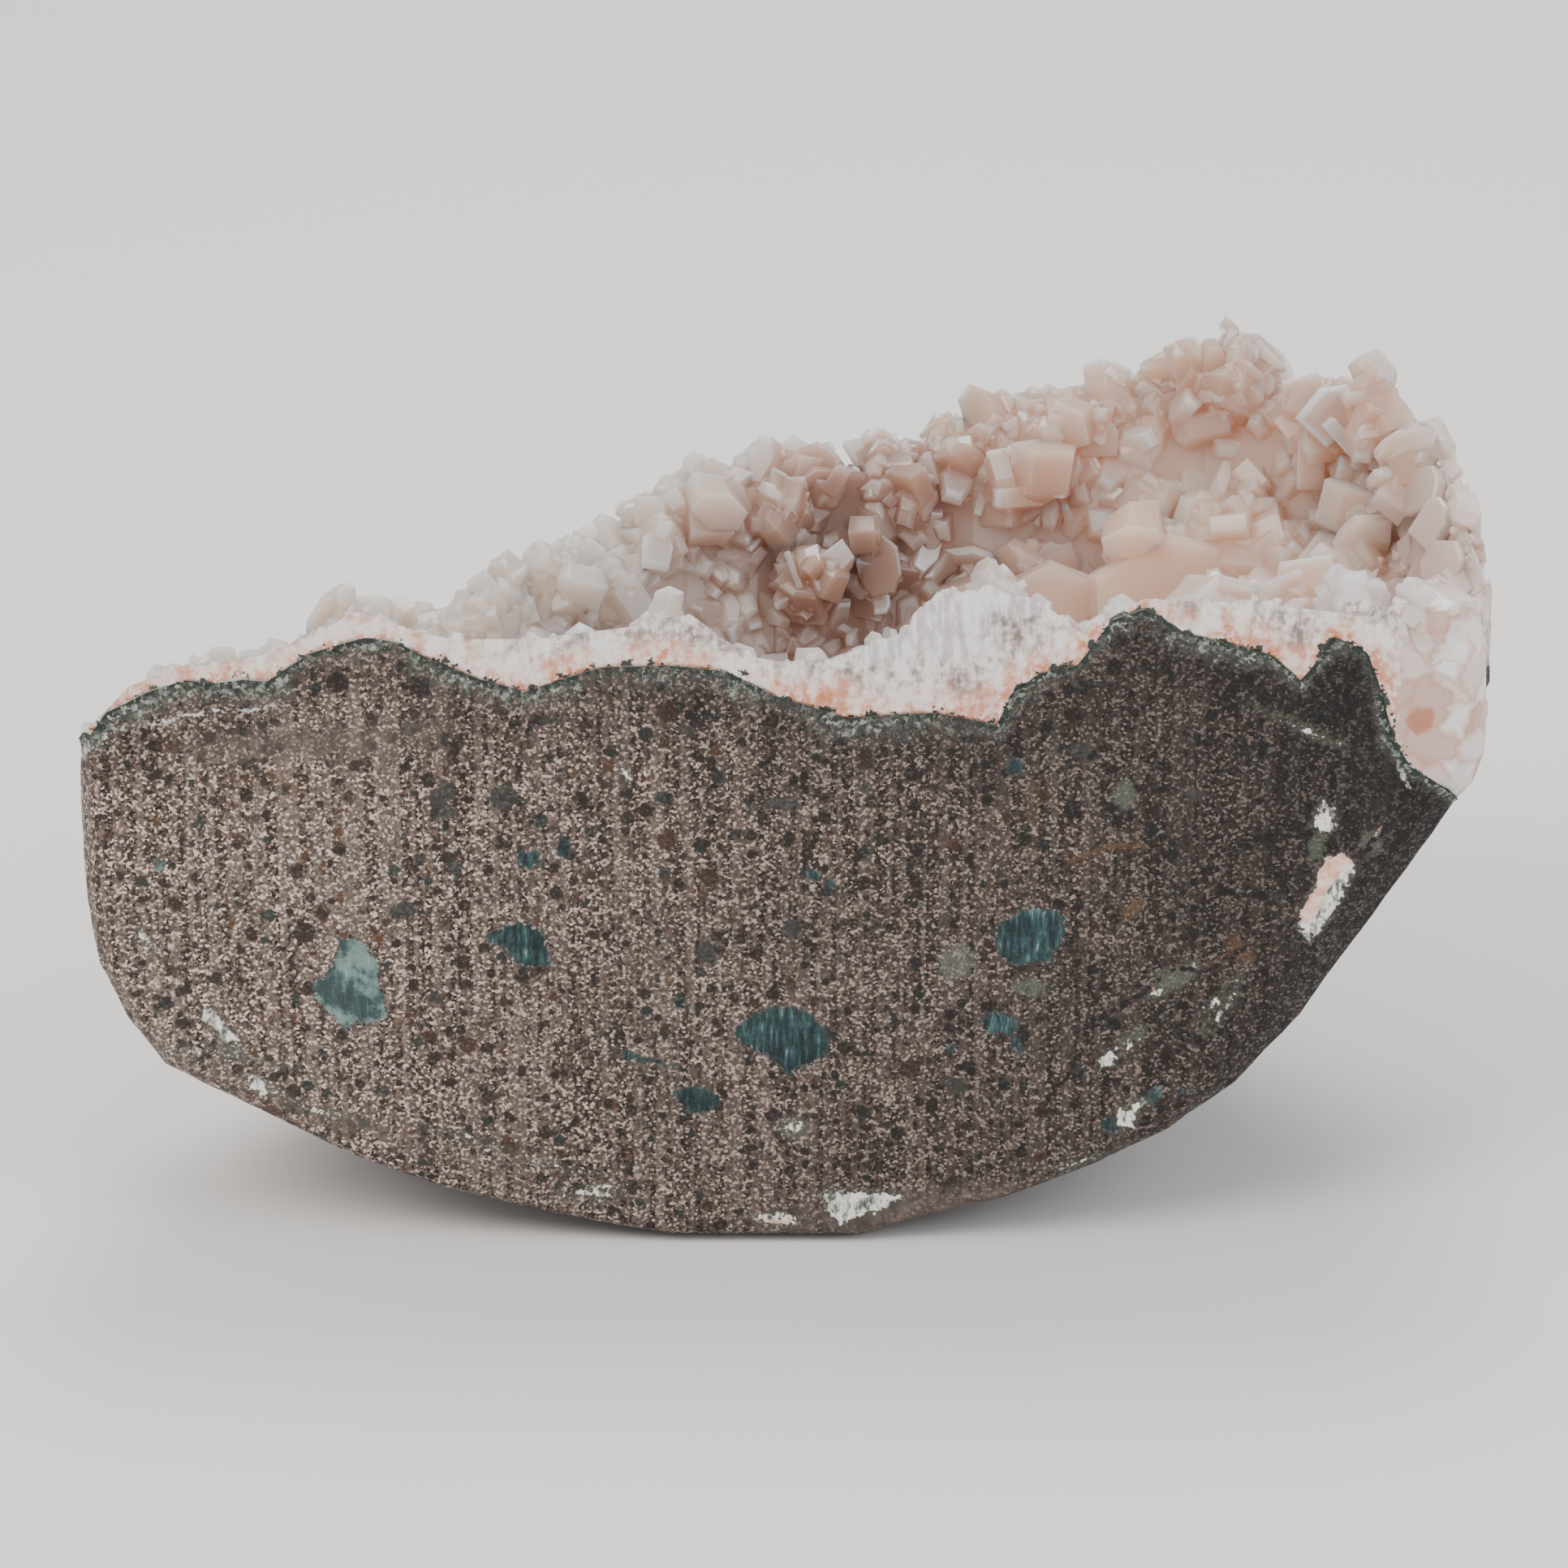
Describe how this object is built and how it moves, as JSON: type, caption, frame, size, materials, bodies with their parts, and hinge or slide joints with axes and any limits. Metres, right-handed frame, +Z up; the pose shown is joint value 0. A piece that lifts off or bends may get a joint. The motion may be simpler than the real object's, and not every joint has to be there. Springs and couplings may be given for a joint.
{
  "type": "heulandite geode",
  "caption": "Halved basalt geode with a flat sawn face, a rounded underside and a deep hollow lined with pale peach heulandite crystals.",
  "frame": {"origin": "middle of the bounding box in X and Y, on the flat ground underneath that the stone stands on", "axes": "+X to the viewer's right along the sawn face, +Y from the sawn face into the stone, +Z up"},
  "size_m": [0.1908, 0.1064, 0.1052],
  "materials": {
    "basalt": "sawn and ground, fine-grained, dull",
    "heulandite": "translucent crystals with pearly flat faces"
  },
  "bodies": {
    "root": {"basalt_matrix": "basalt", "heulandite_crust": "heulandite"}
  },
  "joints": []
}
